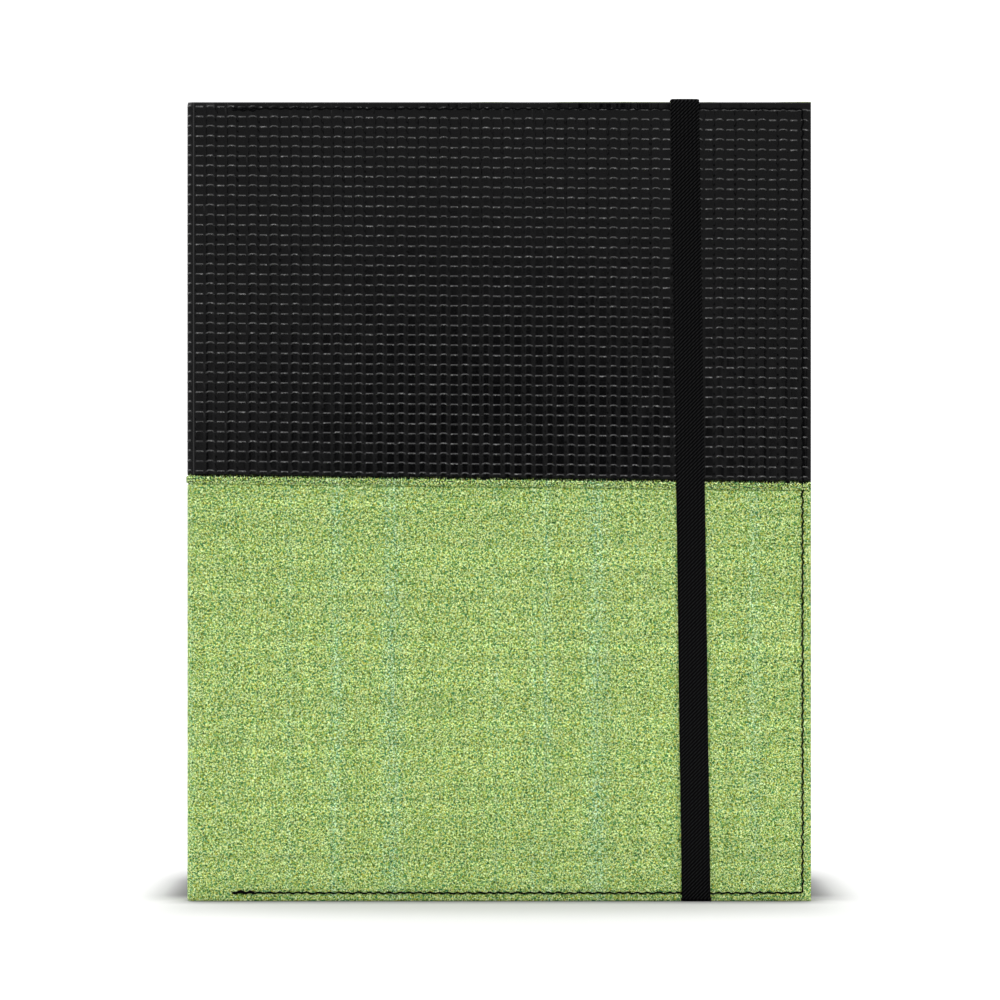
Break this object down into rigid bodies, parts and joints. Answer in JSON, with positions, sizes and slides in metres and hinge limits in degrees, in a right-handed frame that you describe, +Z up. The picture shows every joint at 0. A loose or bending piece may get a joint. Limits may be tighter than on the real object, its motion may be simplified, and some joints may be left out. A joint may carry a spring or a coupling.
{
  "type": "stamp album",
  "caption": "Stamp stock book in a sewn two-tone slip jacket, with clear pocket strips on hinged black leaves and an elastic band that holds it shut.",
  "frame": {"origin": "centre of the closed album's bounding box, on the surface its bottom edges stand on", "axes": "+Z up along the spine, +X from the spine to the fore edge, -Y out of the front cover"},
  "size_m": [0.25, 0.023, 0.3211],
  "materials": {
    "black_scrim": "coated woven scrim with a raised square grid, semi-gloss",
    "green_cloth": "heather woven cloth, matt, yellow and dark green flecks",
    "lime_lining": "plain matt cloth",
    "cover_board": "board covered in fine-grained black book paper",
    "black_thread": "thick twisted thread",
    "black_elastic": "ribbed woven elastic, low sheen",
    "black_linen": "book linen, matt",
    "black_card": "smooth black card",
    "clear_film": "clear film, glossy",
    "glassine": "translucent smooth paper"
  },
  "bodies": {
    "back_cover": {"back_vinyl_panel": "black_scrim", "back_fabric_panel": "green_cloth", "back_board": "cover_board", "back_pocket_lining": "lime_lining", "back_edge_thread": "black_thread", "elastic_band": "black_elastic"},
    "spine": {"spine_vinyl_panel": "black_scrim", "spine_fabric_panel": "green_cloth", "spine_board": "cover_board", "spine_cloth": "black_linen", "guard_stubs": "black_card", "stub_tapes": "black_linen"},
    "front_cover": {"front_vinyl_panel": "black_scrim", "front_fabric_panel": "green_cloth", "front_board": "cover_board", "front_pocket_lining": "lime_lining", "front_edge_thread": "black_thread"},
    "leaf_1": {"leaf_1_card": "black_card", "leaf_1_strips": "clear_film", "leaf_1_interleaf": "glassine", "leaf_1_tape": "black_linen"},
    "leaf_2": {"leaf_2_card": "black_card", "leaf_2_strips": "clear_film", "leaf_2_interleaf": "glassine", "leaf_2_tape": "black_linen"},
    "leaf_3": {"leaf_3_card": "black_card", "leaf_3_strips": "clear_film", "leaf_3_interleaf": "glassine", "leaf_3_tape": "black_linen"},
    "leaf_4": {"leaf_4_card": "black_card", "leaf_4_strips": "clear_film", "leaf_4_interleaf": "glassine", "leaf_4_tape": "black_linen"},
    "leaf_5": {"leaf_5_card": "black_card", "leaf_5_strips": "clear_film", "leaf_5_interleaf": "glassine", "leaf_5_tape": "black_linen"},
    "leaf_6": {"leaf_6_card": "black_card", "leaf_6_strips": "clear_film", "leaf_6_interleaf": "glassine", "leaf_6_tape": "black_linen"},
    "leaf_7": {"leaf_7_card": "black_card", "leaf_7_strips": "clear_film", "leaf_7_interleaf": "glassine", "leaf_7_tape": "black_linen"},
    "leaf_8": {"leaf_8_card": "black_card", "leaf_8_strips": "clear_film", "leaf_8_interleaf": "glassine", "leaf_8_tape": "black_linen"}
  },
  "joints": [
    {"name": "front_cover_hinge", "type": "hinge", "parent": "spine", "child": "front_cover", "pos_m": [-0.12412, -0.00957, 0.16], "axis": [0, 0, -1], "range_deg": [0, 90], "deforming": ["elastic_band"]},
    {"name": "spine_hinge", "type": "hinge", "parent": "back_cover", "child": "spine", "pos_m": [-0.12412, 0.01067, 0.16], "axis": [0, 0, -1], "range_deg": [0, 90]},
    {"name": "leaf_1_hinge", "type": "hinge", "parent": "spine", "child": "leaf_1", "pos_m": [-0.1112, -0.00595, 0.16], "axis": [0, 0, -1], "range_deg": [0, 84]},
    {"name": "leaf_2_hinge", "type": "hinge", "parent": "spine", "child": "leaf_2", "pos_m": [-0.1095, -0.00425, 0.16], "axis": [0, 0, -1], "range_deg": [0, 78]},
    {"name": "leaf_3_hinge", "type": "hinge", "parent": "spine", "child": "leaf_3", "pos_m": [-0.1078, -0.00255, 0.16], "axis": [0, 0, -1], "range_deg": [0, 70]},
    {"name": "leaf_4_hinge", "type": "hinge", "parent": "spine", "child": "leaf_4", "pos_m": [-0.1061, -0.00085, 0.16], "axis": [0, 0, -1], "range_deg": [0, 55]},
    {"name": "leaf_5_hinge", "type": "hinge", "parent": "spine", "child": "leaf_5", "pos_m": [-0.1061, 0.00085, 0.16], "axis": [0, 0, -1], "range_deg": [-55, 0]},
    {"name": "leaf_6_hinge", "type": "hinge", "parent": "spine", "child": "leaf_6", "pos_m": [-0.1078, 0.00255, 0.16], "axis": [0, 0, -1], "range_deg": [-70, 0]},
    {"name": "leaf_7_hinge", "type": "hinge", "parent": "spine", "child": "leaf_7", "pos_m": [-0.1095, 0.00425, 0.16], "axis": [0, 0, -1], "range_deg": [-78, 0]},
    {"name": "leaf_8_hinge", "type": "hinge", "parent": "spine", "child": "leaf_8", "pos_m": [-0.1112, 0.00595, 0.16], "axis": [0, 0, -1], "range_deg": [-84, 0]}
  ],
  "couplings": [
    {"joint": "spine_hinge", "follows": "front_cover_hinge", "ratio": 1},
    {"joint": "leaf_1_hinge", "follows": "front_cover_hinge", "ratio": 0.93},
    {"joint": "leaf_2_hinge", "follows": "front_cover_hinge", "ratio": 0.86},
    {"joint": "leaf_3_hinge", "follows": "front_cover_hinge", "ratio": 0.77},
    {"joint": "leaf_4_hinge", "follows": "front_cover_hinge", "ratio": 0.61},
    {"joint": "leaf_5_hinge", "follows": "front_cover_hinge", "ratio": -0.61},
    {"joint": "leaf_6_hinge", "follows": "front_cover_hinge", "ratio": -0.77},
    {"joint": "leaf_7_hinge", "follows": "front_cover_hinge", "ratio": -0.86},
    {"joint": "leaf_8_hinge", "follows": "front_cover_hinge", "ratio": -0.93}
  ]
}
